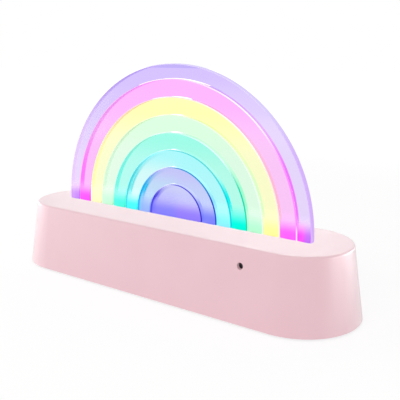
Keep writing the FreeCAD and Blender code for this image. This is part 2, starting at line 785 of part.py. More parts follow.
# Charging socket: a stadium tube of sheet metal with a closed back, round a thin tongue

def make_usb_shell():
    body = new_body("usb_shell")
    outside = new_sketch(body, "Outside", "XZ_Plane", "-Places.usb_face")
    obround(outside, "Sizes.usb_width", "Sizes.usb_height", "Sizes.usb_place_x", "Places.usb_centre")
    add(body, "Can", outside, "Sizes.usb_depth", front_way)
    inside = new_sketch(body, "Inside", "XZ_Plane", "-Places.usb_face")
    width = "Sizes.usb_width - 2 * Sizes.usb_wall"
    height = "Sizes.usb_height - 2 * Sizes.usb_wall"
    obround(inside, width, height, "Sizes.usb_place_x", "Places.usb_centre")
    cut(body, "Mouth", inside, "Sizes.usb_depth - Sizes.usb_wall", front_way)
    return body


def make_usb_tongue():
    low = (
        "Sizes.usb_place_x - Sizes.tongue_width / 2",
        "Places.usb_face - Sizes.usb_depth + Sizes.usb_wall",
        "Places.usb_centre - Sizes.tongue_height / 2",
    )
    high = (
        "Sizes.usb_place_x + Sizes.tongue_width / 2",
        "Places.usb_face - Sizes.tongue_gap",
        "Places.usb_centre + Sizes.tongue_height / 2",
    )
    return block("usb_tongue", low, high)


# Mode button: a round cap whose face slopes with the wall, a flange that keeps it in, and a stem

def make_mode_button():
    body = new_body("mode_button")
    centre = ("Sizes.button_place_x", "Places.button_level")
    cap = new_sketch(body, "Cap", "XZ_Plane", "-Places.flange_front")
    circle(cap, *centre, "Sizes.button_radius")
    add(body, "CapPad", cap, "Places.button_reach - Places.flange_front", rear_way)
    away = new_sketch(body, "FaceSlope", "YZ_Plane", "Sizes.button_place_x - 2 * Sizes.button_radius")
    face = "Places.button_wall + Sizes.button_proud"
    lean = "2 * Places.slope * Sizes.button_radius"
    top = "Places.button_level + 2 * Sizes.button_radius"
    foot = "Places.button_level - 2 * Sizes.button_radius"
    outside = "%s + 2 * Sizes.button_radius" % face
    polygon(away, [
        ("%s + %s" % (face, lean), foot),
        (outside, foot),
        (outside, top),
        ("%s - %s" % (face, lean), top),
    ])
    cut(body, "FaceSlopeCut", away, "4 * Sizes.button_radius", right_way)

    closed = [edge for edge in body.Shape.Edges if edge.isClosed()]
    front_most = max(edge.BoundBox.YMax for edge in closed)

    def face_rim(edge):
        return edge.isClosed() and abs(edge.BoundBox.YMax - front_most) < 1e-4
    soften(body, "PartDesign::Fillet", "FaceRound", face_rim, "Radius", "Sizes.button_round")
    flange = new_sketch(body, "Flange", "XZ_Plane", "-Places.flange_front")
    circle(flange, *centre, "Sizes.flange_radius")
    add(body, "FlangePad", flange, "Sizes.flange_thickness", rear_way)
    stem = new_sketch(body, "Stem", "XZ_Plane", "-Places.flange_front")
    circle(stem, *centre, "Sizes.stem_radius")
    add(body, "StemPad", stem, "Sizes.stem_length", front_way)
    return body


def make_switch():
    half = "Sizes.switch_width / 2"
    low = ("Sizes.button_place_x - %s" % half, "Places.switch_rear - Sizes.switch_depth", "Places.board_top")
    high = (
        "Sizes.button_place_x + %s" % half,
        "Places.switch_rear",
        "Places.board_top + Sizes.switch_height",
    )
    case = block("SwitchCase", low, high)
    mouth = ("Sizes.button_place_x", "Places.switch_rear", "Places.button_level")
    bore = rod("SwitchBore", "Sizes.plunger_radius + Sizes.plunger_clearance", "Places.switch_bore", mouth, "-Y")
    body = without("switch_body", case, bore)
    start = ("Sizes.button_place_x", "Places.plunger_tip - Sizes.plunger_length", "Places.button_level")
    plunger = rod("switch_plunger", "Sizes.plunger_radius", "Sizes.plunger_length", start, "+Y")
    return [body, plunger]


# Microphone capsule in a rubber sleeve that fits the socket behind the front hole

def make_microphone():
    axis = ("Places.mic_place_x", "Places.mic_place_z")
    front = "-Places.mic_wall"
    rear = "-(Places.mic_boss_y - Sizes.grommet_overhang)"
    seat = "%s + Sizes.grommet_lip" % front
    bore = "Sizes.mic_radius + Sizes.grommet_clearance / 2"

    def along(label, radius, start, end):
        return rod(label, radius, "(%s) - (%s)" % (end, start), (axis[0], start, axis[1]), "+Y")
    sleeve = along("GrommetOutside", "Places.grommet_radius", front, rear)
    pocket = along("GrommetPocket", bore, seat, rear)
    mouth = along("GrommetMouth", "Sizes.mic_hole_radius", front, seat)
    grommet = without("mic_grommet", sleeve, together("GrommetBore", [pocket, mouth]))
    capsule = rod("microphone", "Sizes.mic_radius", "Sizes.mic_length", (axis[0], seat, axis[1]), "+Y")
    return [grommet, capsule]


# Rechargeable cell, lying along the base

def make_cell():
    start = ("Sizes.cell_place_x - Sizes.cell_length / 2", "Places.cell_place_y", "Places.cell_level")
    can = rod("CellCan", "Sizes.cell_radius", "Sizes.cell_length", start, "+X")
    doc.recompute()
    cell = doc.addObject("Part::Chamfer", "battery_cell")
    cell.Label = "battery_cell"
    cell.Base = can
    bevel = amount("Sizes.cell_bevel")
    rims = [k + 1 for k, edge in enumerate(can.Shape.Edges) if edge.isClosed()]
    cell.Edges = [(k, bevel, bevel) for k in rims]
    return cell


# Screws with low round heads, in groups

def screw(shank, length, head, height, seat, heading):
    # the seat is under the head, and the heading is the way the shank goes
    profile = Part.Wire([
        Part.LineSegment(Vector(0, 0, length), Vector(shank, 0, length - shank)).toShape(),
        Part.LineSegment(Vector(shank, 0, length - shank), Vector(shank, 0, 0)).toShape(),
        Part.LineSegment(Vector(shank, 0, 0), Vector(head, 0, 0)).toShape(),
        Part.LineSegment(Vector(head, 0, 0), Vector(head, 0, -height / 3)).toShape(),
        Part.LineSegment(Vector(head, 0, -height / 3), Vector(head - height / 2, 0, -height)).toShape(),
        Part.LineSegment(Vector(head - height / 2, 0, -height), Vector(0, 0, -height)).toShape(),
        Part.LineSegment(Vector(0, 0, -height), Vector(0, 0, length)).toShape(),
    ])
    shape = Part.Face(profile).revolve(Vector(), Vector(0, 0, 1), 360)
    shape.Placement = FreeCAD.Placement(seat, FreeCAD.Rotation(Vector(1, 0, 0), heading))
    return shape


def screws(label, corners, level, kind, length, heading):
    sizes = [amount("Sizes.%s_%s" % (kind, word)) for word in ("screw_radius", "head_radius", "head_height")]
    shapes = []
    for across, up in corners:
        seat = Vector(amount(across), amount(up), amount(level))
        shapes.append(screw(sizes[0], amount(length), sizes[1], sizes[2], seat, heading))
    return solids(label, shapes)


# Feet: soft round pads in the cover's recesses

def make_feet():
    height = amount("Places.plate_low + Sizes.foot_recess")
    radius = amount("Sizes.foot_radius")
    shapes = []
    for across, up in foot_corners:
        shapes.append(Part.makeCylinder(radius, height, Vector(amount(across), amount(up), 0)))
    return solids("foot_pads", shapes)


# Inner leads: round wires on straight runs and tangent arcs, and the connectors they end in

lead_sides = 8


def lead_section(middle, heading):
    # corners of an eight-sided section square to the lead, closed on its first corner
    turn = FreeCAD.Rotation(Vector(0, 0, 1), heading)
    radius = amount("Sizes.lead_radius")
    corners = []
    for step in range(lead_sides + 1):
        angle = 2 * math.pi * (step % lead_sides + 0.5) / lead_sides
        corners.append(middle + turn.multVec(Vector(radius * math.cos(angle), radius * math.sin(angle), 0)))
    return corners


def rounded_path(points, bend):
    edges = []
    start = points[0]
    for before, corner, after in zip(points, points[1:], points[2:]):
        incoming = (corner - before).normalize()
        outgoing = (after - corner).normalize()
        turn = incoming.getAngle(outgoing)
        reach = bend * math.tan(turn / 2)
        first = corner - incoming * reach
        last = corner + outgoing * reach
        inward = (outgoing - incoming).normalize()
        middle = corner + inward * (bend / math.cos(turn / 2) - bend)
        edges.append(Part.LineSegment(start, first).toShape())
        edges.append(Part.Arc(first, middle, last).toShape())
        start = last
    edges.append(Part.LineSegment(start, points[-1]).toShape())
    return Part.Wire(edges)


def lead(points):
    path = rounded_path(points, amount("Sizes.lead_bend"))
    section = Part.makePolygon(lead_section(points[0], points[1] - points[0]))
    return path.makePipeShell([section], True, False)


def connector(name, x_range, y_range, z_range, mouth):
    # a plug inside a shroud on the board, open towards its mouth
    plug = block(name + "_plug", *zip(x_range, y_range, z_range))
    gap = "Sizes.plug_clearance"
    wall = "(Sizes.plug_clearance + Sizes.shroud_wall)"
    ranges = [list(x_range), list(y_range), list(z_range)]
    inner = [["%s - %s" % (low, gap), "%s + %s" % (high, gap)] for low, high in ranges]
    outer = [["%s - %s" % (low, wall), "%s + %s" % (high, wall)] for low, high in ranges]
    if mouth == "front":
        outer[1][0] = "Places.board_front"
    else:
        outer[2][1] = "%s - Sizes.shroud_wall" % z_range[1]
        inner[2][1] = "%s + Sizes.shroud_wall" % z_range[1]
    shroud = block(name + "Shroud", *zip(*outer))
    room = block(name + "Room", *zip(*inner))
    return [plug, without(name + "_header", shroud, room)]


plug_low = "Places.board_top + Sizes.shroud_wall + Sizes.plug_clearance"


def plug_across(middle, ways):
    half = "%d * Sizes.lead_pitch / 2" % ways
    return ("%s - %s" % (middle, half), "%s + %s" % (middle, half))


def make_battery_leads():
    depth = ("Places.board_front - Sizes.plug_overhang", "Places.board_front + Sizes.plug_depth - Sizes.plug_overhang")
    tall = (plug_low, "%s + Sizes.plug_height" % plug_low)
    items = connector("battery", plug_across("Sizes.battery_plug_x", 2), depth, tall, "front")
    level = amount("%s + Sizes.plug_height / 2" % plug_low)
    start = amount("Sizes.cell_place_x + Sizes.cell_length / 2")
    shapes = []
    for side in both:
        step = side * amount("Sizes.lead_pitch / 2")
        corner_x = amount("Sizes.battery_plug_x") - step
        corner_y = amount("Places.cell_place_y") + step
        points = [
            Vector(start, corner_y, level),
            Vector(corner_x, corner_y, level),
            Vector(corner_x, amount(depth[0]), level),
        ]
        shapes.append(lead(points))
    return items + [solids("battery_leads", shapes)]


def make_light_leads():
    ways = 4
    half = "Sizes.plug_height / 2"
    deep = ("Places.led_plug_y - %s" % half, "Places.led_plug_y + %s" % half)
    tall = (plug_low, "%s + Sizes.plug_depth" % plug_low)
    items = connector("light", plug_across("Sizes.led_plug_x", ways), deep, tall, "up")
    top = amount("Places.light_board_low")
    low = amount(tall[1])
    drop = amount("Sizes.lead_drop")
    shapes = []
    for way in range(ways):
        across = amount("Sizes.led_plug_x") + (way - (ways - 1) / 2) * amount("Sizes.lead_pitch")
        points = [
            Vector(across, amount("Sizes.led_lead_y"), top),
            Vector(across, amount("Sizes.led_lead_y"), top - drop),
            Vector(across, amount("Places.led_plug_y"), low + drop),
            Vector(across, amount("Places.led_plug_y"), low),
        ]
        shapes.append(lead(points))
    return items + [solids("light_leads", shapes)]


def make_mic_leads():
    start = amount("-Places.mic_wall + Sizes.grommet_lip + Sizes.mic_length")
    down = -amount("Sizes.mic_lead_y")
    pad_y = amount("Places.board_front + Sizes.lead_pitch")
    board = amount("Places.board_top")
    shapes = []
    for side in both:
        step = side * amount("Sizes.lead_pitch / 2")
        across = amount("Places.mic_place_x") + step
        level = board + amount("Sizes.mic_lead_rise") + step
        points = [
            Vector(across, start, amount("Places.mic_place_z")),
            Vector(across, down, amount("Places.mic_place_z")),
            Vector(across, down, level),
            Vector(amount("Sizes.mic_pad_x") + step, pad_y, level),
            Vector(amount("Sizes.mic_pad_x") + step, pad_y, board),
        ]
        shapes.append(lead(points))
    return [solids("mic_leads", shapes)]


pieces = [make_base_shell(), make_base_plate(), make_feet()]
pieces.append(screws("base_screws", post_corners, "Places.base_screw_seat", "base", "Sizes.base_screw_length", 0))
pieces += [make_guide(index, name) for index, name in enumerate(guide_names)]
pieces += [make_light_tray(), make_light_board(), make_lights()]
pieces.append(screws("tray_screws", ear_corners, "Places.light_board_low", "small", "Sizes.small_screw_length", 0))
pieces.append(make_control_board())
pieces.append(screws("board_screws", board_holes, "Places.board_top", "small", "Sizes.board_screw_length", 180))
pieces += [make_chip(), make_usb_shell(), make_usb_tongue(), make_mode_button()]
pieces += make_switch()
pieces += make_microphone()
pieces.append(make_cell())
pieces += make_battery_leads()
pieces += make_light_leads()
pieces += make_mic_leads()
doc.recompute()

# Every object has to be sound before anything is written
for item in doc.Objects:
    if "Invalid" in item.State or "Error" in item.State:
        raise ValueError("%s failed: %s" % (item.Label, item.State))
for piece in pieces:
    if piece.Shape.isNull() or not piece.Shape.isValid():
        raise ValueError("%s has no valid shape" % piece.Label)
os.makedirs("parts", exist_ok=True)
for piece in pieces:
    piece.Shape.exportStep(os.path.join("parts", piece.Label + ".step"))
    print(piece.Label, len(piece.Shape.Solids), round(piece.Shape.Volume, 1))
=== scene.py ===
import math

import bmesh
import bpy
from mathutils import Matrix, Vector


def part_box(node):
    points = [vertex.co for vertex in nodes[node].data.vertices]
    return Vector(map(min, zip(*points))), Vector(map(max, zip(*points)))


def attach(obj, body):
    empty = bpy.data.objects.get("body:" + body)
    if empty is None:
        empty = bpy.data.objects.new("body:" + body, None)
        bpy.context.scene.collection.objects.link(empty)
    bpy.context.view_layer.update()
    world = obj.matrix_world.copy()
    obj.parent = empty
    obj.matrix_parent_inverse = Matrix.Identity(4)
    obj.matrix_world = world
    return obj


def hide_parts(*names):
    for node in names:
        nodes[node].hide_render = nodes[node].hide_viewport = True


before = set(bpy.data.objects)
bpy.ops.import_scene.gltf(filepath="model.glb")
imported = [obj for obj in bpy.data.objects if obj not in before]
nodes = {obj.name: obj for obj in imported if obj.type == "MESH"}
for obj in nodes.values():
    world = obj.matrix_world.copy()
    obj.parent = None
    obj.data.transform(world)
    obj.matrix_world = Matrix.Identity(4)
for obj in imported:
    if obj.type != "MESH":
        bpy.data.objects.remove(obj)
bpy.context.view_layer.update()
scene = bpy.context.scene
scene.view_settings.view_transform = "Standard"
print("frame loaded,", len(nodes), "nodes")


def screen(red, green, blue):
    # screen colour 0-255 to the linear values that sockets hold
    linear = []
    for part in (red, green, blue):
        part = part / 255
        linear.append(part / 12.92 if part <= 0.04045 else ((part + 0.055) / 1.055) ** 2.4)
    return (*linear, 1.0)


white = screen(255, 255, 255)
black = screen(0, 0, 0)

# node helpers
noiseLook = {
    "detail": 3.0,
    "grainDetail": 2.0,
    "rough": 0.55,
    "span": (0.3, 0.7),  # most of a noise lies between these
}


class Finish:
    def __init__(self, name):
        self.material = bpy.data.materials.new(name)
        self.material.use_nodes = True
        self.tree = self.material.node_tree
        self.shader = self.tree.nodes["Principled BSDF"]
        coordinates = self.add("ShaderNodeTexCoord")
        self.place = coordinates.outputs["Object"]
        self.normal = coordinates.outputs["Normal"]

    def add(self, kind, **settings):
        node = self.tree.nodes.new(kind)
        for key, value in settings.items():
            setattr(node, key, value)
        return node

    def join(self, start, end):
        self.tree.links.new(start, end)

    def feed(self, socket, value):
        # a socket takes a node's result or a plain value
        if hasattr(value, "is_linked"):
            self.join(value, socket)
        else:
            socket.default_value = value

    def link(self, **sources):
        # what varies over the surface goes to the shader by links
        for key, source in sources.items():
            self.join(source, self.shader.inputs[key.replace("_", " ")])

    def put(self, **values):
        # constants go on the shader's own sockets
        for key, value in values.items():
            self.shader.inputs[key.replace("_", " ")].default_value = value

    def axes(self, vector):
        node = self.add("ShaderNodeSeparateXYZ")
        self.join(vector, node.inputs["Vector"])
        return node.outputs

    def length(self, vector):
        node = self.add("ShaderNodeVectorMath", operation="LENGTH")
        self.join(vector, node.inputs[0])
        return node.outputs["Value"]

    def calc(self, operation, first, second):
        node = self.add("ShaderNodeMath", operation=operation)
        self.feed(node.inputs[0], first)
        self.feed(node.inputs[1], second)
        return node.outputs["Value"]

    def between(self, value, span, low, high, smooth=False):
        node = self.add("ShaderNodeMapRange", interpolation_type="SMOOTHSTEP" if smooth else "LINEAR")
        for socket, number in zip(("From Min", "From Max", "To Min", "To Max"), (*span, low, high)):
            node.inputs[socket].default_value = number
        self.join(value, node.inputs["Value"])
        return node.outputs["Result"]

    def blend(self, factor, first, second):
        # sockets 6 and 7 and result 2 are a mix node's colours
        node = self.add("ShaderNodeMix", data_type="RGBA")
        self.join(factor, node.inputs["Factor"])
        self.feed(node.inputs[6], first)
        self.feed(node.inputs[7], second)
        return node.outputs[2]

    def ramp(self, value, span, first, second):
        node = self.add("ShaderNodeValToRGB")
        for element, spot, colour in zip(node.color_ramp.elements, span, (first, second)):
            element.position = spot
            element.color = colour
        self.join(value, node.inputs["Fac"])
        return node.outputs["Color"]

    def noise(self, scale, detail=noiseLook["detail"]):
        node = self.add("ShaderNodeTexNoise")
        node.inputs["Scale"].default_value = scale
        node.inputs["Detail"].default_value = detail
        node.inputs["Roughness"].default_value = noiseLook["rough"]
        self.join(self.place, node.inputs["Vector"])
        return node.outputs["Fac"]

    def stretch(self, noise, low, high):
        return self.between(noise, noiseLook["span"], low, high)

    def grain(self, scale, depth, strength):
        bump = self.add("ShaderNodeBump")
        bump.inputs["Strength"].default_value = strength
        bump.inputs["Distance"].default_value = depth
        self.join(self.noise(scale, noiseLook["grainDetail"]), bump.inputs["Height"])
        self.join(bump.outputs["Normal"], self.shader.inputs["Normal"])


# plastic and rubber: faint mottling, uneven gloss and a fine mould grain
moulded = {
    "mottleScale": 38.0,
    "mottleDetail": 4.0,
    "mottleSpan": (0.3, 0.68),
    "glossScale": 150.0,
    "glossSpread": (-0.05, 0.06),
    "grainStrength": 0.25,
    "coatRough": 0.25,
}


def mouldedFinish(name, colour, darker, rough, grain, depth, sheen=0.0, coat=0.0):
    finish = Finish(name)
    mottle = finish.noise(moulded["mottleScale"], moulded["mottleDetail"])
    gloss = finish.noise(moulded["glossScale"])
    low, high = moulded["glossSpread"]
    finish.link(
        Base_Color=finish.ramp(mottle, moulded["mottleSpan"], screen(*darker), screen(*colour)),
        Roughness=finish.stretch(gloss, rough + low, rough + high),
    )
    finish.grain(grain, depth, moulded["grainStrength"])
    finish.put(Sheen_Weight=sheen, Coat_Weight=coat, Coat_Roughness=moulded["coatRough"])
    return finish.material


# plated metal with a slight cloud in its gloss
plated = {
    "cloudDetail": 4.0,
    "cloudSpan": (0.3, 0.7),
    "glossTimes": 3,  # as many times finer than the cloud
    "glossSpread": (-0.08, 0.1),
    "grainTimes": 5,
    "grainDepth": 0.00002,
    "grainStrength": 0.25,
}


def metalFinish(name, colour, darker, rough, cloud):
    finish = Finish(name)
    clouds = finish.noise(cloud, plated["cloudDetail"])
    gloss = finish.noise(cloud * plated["glossTimes"])
    low, high = plated["glossSpread"]
    finish.link(
        Base_Color=finish.ramp(clouds, plated["cloudSpan"], screen(*darker), screen(*colour)),
        Roughness=finish.stretch(gloss, rough + low, rough + high),
    )
    finish.grain(cloud * plated["grainTimes"], plated["grainDepth"], plated["grainStrength"])
    finish.put(Metallic=1.0)
    return finish.material


# light guides: clear acrylic bars, lit from the feet; the light hugs the outer wall
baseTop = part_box("base_shell")[1].z
guideShape = {
    "legRise": 0.0005,
    "bevel": 0.0004,
    "bevelSegments": 2,
    "shoulder": 0.0012,
    "gap": 0.0003,
    "steps": 360,
    "corner": 1.0,  # radians, an edge that gets a bevel
    "outward": 0.25,  # a face that looks outwards by this much is wall
    "downward": 0.9,
    "near": 0.00001,
}
guideFinish = {
    "bend": 1.01,  # low, so that a bar shows its own walls and the bars behind it in place
    "gloss": 1.49,
    "roughScale": 90.0,
    "rough": (0.012, 0.054),
    "grain": 55.0,
    "grainDepth": 0.00003,
    "grainStrength": 0.15,
    "footGlow": 0.4,
    "footClear": 0.38,
    "fullHeight": 0.003,  # a foot has its full colour up to here
    "clearHeight": (0.006, 0.016),
    "flatNormal": (0.9, 0.98),  # a normal's part along Y, from bevel to flat face
    "coat": 0.25,
    "footCoat": 0.1,
    "coatRough": 0.1,
    "crownSpan": (0.55, 0.95),  # here and below, spans are shares of the arch's reach
    "spillSpan": (0.925, 0.975),
    "middle": 0.004,  # left and right colours meet within this of the middle
    "paintedLineWidth": (0.001, 0.0022),
    "paintedLineSpan": (0.55, 0.95),
    "wallGlow": 0.35,
    "wallScale": 120.0,
    "wallRough": (0.25, 0.4),
    "wallSpanLeft": (0.5, 0.95),
    "wallSpanRight": (0.42, 0.78),
    "turnSpan": (-0.35, 0.0),
    "paintedEdgeDepth": (0.0007, 0.0013),
    "paintedFootGlintHeight": (0.005, 0.009),
}
guideBands = {
    "centre": {
        "footLeft": (134, 134, 249), "legLeft": (193, 193, 252), "paintedLeftLine": (82, 74, 225),
        "footRight": (146, 129, 246), "legRight": (199, 200, 253), "crown": (206, 210, 252),
        "wallLeft": (82, 74, 225), "wallRight": (130, 138, 238), "paintedWallHighlight": (250, 250, 252),
        "paintedEdgeRight": (44, 40, 185), "paintedEdgeTop": (84, 80, 208), "footFade": 0.013,
    },
    "periwinkle": {
        "footLeft": (154, 185, 249), "legLeft": (194, 221, 250), "paintedLeftLine": (0, 162, 226),
        "footRight": (125, 136, 248), "legRight": (198, 210, 252), "crown": (198, 199, 251),
        "wallLeft": (70, 216, 250), "wallRight": (195, 226, 250), "paintedWallHighlight": (248, 252, 252),
        "paintedEdgeRight": (10, 62, 190), "paintedEdgeTop": (30, 140, 205), "footFade": 0.0135,
    },
    "cyan": {
        "footLeft": (76, 249, 249), "legLeft": (214, 252, 251), "paintedLeftLine": (52, 212, 224),
        "footRight": (135, 240, 250), "legRight": (178, 250, 252), "crown": (171, 250, 253),
        "wallLeft": (130, 236, 238), "wallRight": (0, 236, 250), "paintedWallHighlight": (248, 252, 252),
        "paintedEdgeRight": (0, 205, 218), "paintedEdgeTop": (80, 205, 210), "footFade": 0.012,
    },
    "mint": {
        "footLeft": (82, 250, 222), "legLeft": (182, 253, 241),
        "footRight": (0, 248, 219), "legRight": (182, 253, 235), "crown": (157, 252, 231),
        "wallLeft": (138, 245, 232), "wallRight": (172, 246, 222), "paintedWallHighlight": (228, 251, 240),
        "paintedEdgeRight": (0, 208, 168), "paintedEdgeTop": (212, 248, 238), "footFade": 0.0125,
        "wallCrown": (184, 240, 222), "turnSpan": (0.0, 0.4), "footFadeRight": 0.0165,
    },
    "green": {
        "footLeft": (192, 250, 212), "legLeft": (230, 253, 233),
        "footRight": (178, 250, 208), "legRight": (223, 253, 230), "crown": (217, 253, 222),
        "wallLeft": (218, 249, 226), "wallRight": (214, 250, 240), "paintedWallHighlight": (236, 250, 226),
        "paintedEdgeRight": (224, 250, 230), "paintedEdgeTop": (228, 246, 218), "footFade": 0.013,
        "wallCrown": (216, 240, 206), "turnSpan": (0.0, 0.5),
    },
    "yellow": {
        "footLeft": (246, 249, 195), "legLeft": (253, 254, 207),
        "footRight": (249, 251, 160), "legRight": (253, 254, 204), "crown": (254, 253, 173),
        "wallLeft": (252, 250, 202), "wallRight": (254, 230, 212), "paintedWallHighlight": (253, 240, 226),
        "paintedEdgeTop": (254, 248, 236), "footFade": 0.0125,
        "wallCrown": (243, 218, 205), "turnSpan": (0.1, 0.5),
    },
    "pink": {
        "footLeft": (247, 94, 250), "legLeft": (252, 190, 251),
        "footRight": (250, 104, 249), "legRight": (252, 199, 250), "crown": (253, 168, 252),
        "wallLeft": (252, 140, 250), "wallRight": (254, 138, 246), "paintedWallHighlight": (252, 212, 250),
        "paintedEdgeTop": (255, 240, 255), "paintedFootGlint": (255, 222, 255), "footFade": 0.0125,
        "wallCrown": (236, 180, 240), "turnSpan": (0.0, 0.45), "wallSpanLeft": (0.2, 0.6),
    },
    "lavender": {
        "footLeft": (193, 143, 250), "legLeft": (235, 217, 253), "crownSpanLeft": (0.25, 0.9),
        "footRight": (190, 120, 250), "legRight": (231, 215, 253), "crown": (197, 179, 250),
        "wallLeft": (234, 222, 250), "wallRight": (204, 172, 240), "paintedWallHighlight": (210, 198, 242),
        "footSpill": (250, 84, 246), "wallCrown": (205, 191, 240), "footFade": 0.0125,
    },
}


def placeOnBar(finish, reach):
    # height over the base's top, its share of the arch's reach, and the place along the axes
    axes = finish.axes(finish.place)
    height = finish.calc("SUBTRACT", axes["Z"], baseTop)
    return height, finish.calc("DIVIDE", height, reach), axes


def legToCrown(finish, share, span, leg, crown):
    rise = finish.between(share, span, 0.0, 1.0, smooth=True)
    return finish.blend(rise, screen(*leg), screen(*crown))


def clearFinish(name, band, reach):
    # front and back are hazy with light at the feet, and the front is glossy; inner walls are clear
    finish = Finish(name)
    height, share, axes = placeOnBar(finish, reach)
    feet = {"Left": screen(*band["footLeft"]), "Right": screen(*band["footRight"])}
    if "footSpill" in band:
        # the neighbour's light comes across at the right foot
        across = finish.calc("DIVIDE", axes["X"], reach)
        spill = finish.between(across, guideFinish["spillSpan"], 1.0, 0.0, smooth=True)
        feet["Right"] = finish.blend(spill, feet["Right"], screen(*band["footSpill"]))
    halves = {}
    for side, foot in feet.items():
        span = band.get("crownSpan" + side, guideFinish["crownSpan"])
        body = legToCrown(finish, share, span, band["leg" + side], band["crown"])
        footFade = band.get("footFade" + side, band["footFade"])
        lit = finish.between(height, (guideFinish["fullHeight"], footFade), 1.0, 0.0, smooth=True)
        halves[side] = finish.blend(lit, body, foot)
    if "paintedLeftLine" in band:
        # a painted line along the outer edge of the left leg: partly the wall's glow, partly painted
        # shade of the gap between bars
        spot = finish.add("ShaderNodeCombineXYZ")
        finish.join(axes["X"], spot.inputs["X"])
        finish.join(height, spot.inputs["Z"])
        inside = finish.calc("SUBTRACT", reach, finish.length(spot.outputs["Vector"]))
        edge = finish.between(inside, guideFinish["paintedLineWidth"], 1.0, 0.0)
        line = finish.calc("MULTIPLY", edge, finish.between(share, guideFinish["paintedLineSpan"], 1.0, 0.0))
        halves["Left"] = finish.blend(line, halves["Left"], screen(*band["paintedLeftLine"]))
    # the left and right halves take their own colours: painted light, each leg set to the tone it
    # shows under this light
    middle = guideFinish["middle"]
    toRight = finish.between(axes["X"], (-middle, middle), 0.0, 1.0)
    colour = finish.blend(toRight, halves["Left"], halves["Right"])

    facing = finish.axes(finish.normal)["Y"]
    low, high = guideFinish["flatNormal"]
    flat = finish.between(finish.calc("ABSOLUTE", facing, 0.0), (low, high), 0.0, 1.0)
    front = finish.between(facing, (-high, -low), 1.0, 0.0)
    footHaze = 1.0 - guideFinish["footClear"]
    haze = finish.between(height, guideFinish["clearHeight"], footHaze, 0.0, smooth=True)
    haze = finish.calc("MULTIPLY", haze, flat)
    gloss = finish.between(haze, (0.0, footHaze), guideFinish["coat"], guideFinish["footCoat"])
    finish.link(
        Base_Color=colour,
        Transmission_Weight=finish.calc("SUBTRACT", 1.0, haze),
        Emission_Color=finish.blend(haze, black, colour),
        Coat_Weight=finish.calc("MULTIPLY", front, gloss),
        Roughness=finish.stretch(finish.noise(guideFinish["roughScale"]), *guideFinish["rough"]),
    )
    finish.grain(guideFinish["grain"], guideFinish["grainDepth"], guideFinish["grainStrength"])
    finish.put(
        IOR=guideFinish["bend"],
        Emission_Strength=guideFinish["footGlow"],
        Coat_Roughness=guideFinish["coatRough"],
        Coat_IOR=guideFinish["gloss"],
    )
    return finish.material


def wallFinish(name, band, reach, front):
    # outer wall of a bar: tinted at the legs, where the light runs along it, with a painted highlight
    # toward the crown on its right side and a painted line at its front
    finish = Finish(name)
    height, share, axes = placeOnBar(finish, reach)
    spanLeft = band.get("wallSpanLeft", guideFinish["wallSpanLeft"])
    spanRight = guideFinish["wallSpanRight"]
    paintedEdgeRight = band.get("paintedEdgeRight", band["wallRight"])
    paintedEdgeTop = band.get("paintedEdgeTop", band["paintedWallHighlight"])
    wallCrown = band.get("wallCrown", band["crown"])
    left = legToCrown(finish, share, spanLeft, band["wallLeft"], wallCrown)
    # toward the crown the right wall turns to a painted highlight, near white on most bands, standing
    # in for a soft box seen in it
    right = legToCrown(finish, share, spanRight, band["wallRight"], band["paintedWallHighlight"])
    edge = legToCrown(finish, share, spanRight, paintedEdgeRight, paintedEdgeTop)
    # painted glint: near the foot the front edge line turns near white
    if "paintedFootGlint" in band:
        atFoot = finish.between(height, guideFinish["paintedFootGlintHeight"], 1.0, 0.0)
        edge = finish.blend(atFoot, edge, screen(*band["paintedFootGlint"]))
    # painted line along the wall's front edge: the wall's own glow, darkened on the legs by painted
    # shade of the gap between bars, and a painted highlight at the crown on the pale bands
    start, end = guideFinish["paintedEdgeDepth"]
    line = finish.between(axes["Y"], (front + start, front + end), 1.0, 0.0, smooth=True)
    right = finish.blend(line, right, edge)
    # left walls and right walls take their own colours: painted light, each side set to the tone it
    # shows under the studio light, not a dye
    across = finish.calc("DIVIDE", axes["X"], reach)
    turn = finish.between(across, band.get("turnSpan", guideFinish["turnSpan"]), 0.0, 1.0)
    colour = finish.blend(turn, left, right)
    finish.link(
        Base_Color=colour,
        Emission_Color=colour,
        Roughness=finish.stretch(finish.noise(guideFinish["wallScale"]), *guideFinish["wallRough"]),
    )
    finish.put(Specular_IOR_Level=0.0, Emission_Strength=guideFinish["wallGlow"])
    return finish.material


def vertsOf(geom):
    return [item for item in geom if isinstance(item, bmesh.types.BMVert)]


def archBar(bm, inner, outer, half, halfTurn, drop):
    # a section spun over the arch, with short straight legs down to the base
    section = ((inner, -half), (outer, -half), (outer, half), (inner, half))
    corners = [bm.verts.new((x, y, halfTurn["cent"].z)) for x, y in section]
    edges = [bm.edges.new(pair) for pair in zip(corners, corners[1:] + corners[:1])]
    bmesh.ops.spin(bm, geom=corners + edges, **halfTurn)
    rims = [edge for edge in bm.edges if edge.is_boundary]
    legs = bmesh.ops.extrude_edge_only(bm, edges=rims)["geom"]
    bmesh.ops.translate(bm, vec=drop, verts=vertsOf(legs))
    bmesh.ops.holes_fill(bm, edges=[edge for edge in bm.edges if edge.is_boundary])


def halfDisc(bm, outer, half, halfTurn, drop):
    # an outline spun from one point, filled, then pushed back to its thickness
    start = bm.verts.new((outer, -half, halfTurn["cent"].z))
    bmesh.ops.spin(bm, geom=[start], **halfTurn)
    ends = [vert for vert in bm.verts if len(vert.link_edges) == 1]
    legs = bmesh.ops.extrude_vert_indiv(bm, verts=ends)["verts"]
    bmesh.ops.translate(bm, vec=drop, verts=legs)
    bm.edges.new(legs)
    bmesh.ops.contextual_create(bm, geom=bm.edges[:])
    back = bmesh.ops.extrude_face_region(bm, geom=bm.faces[:], use_keep_orig=True)["geom"]
    bmesh.ops.translate(bm, vec=(0, 2 * half, 0), verts=vertsOf(back))


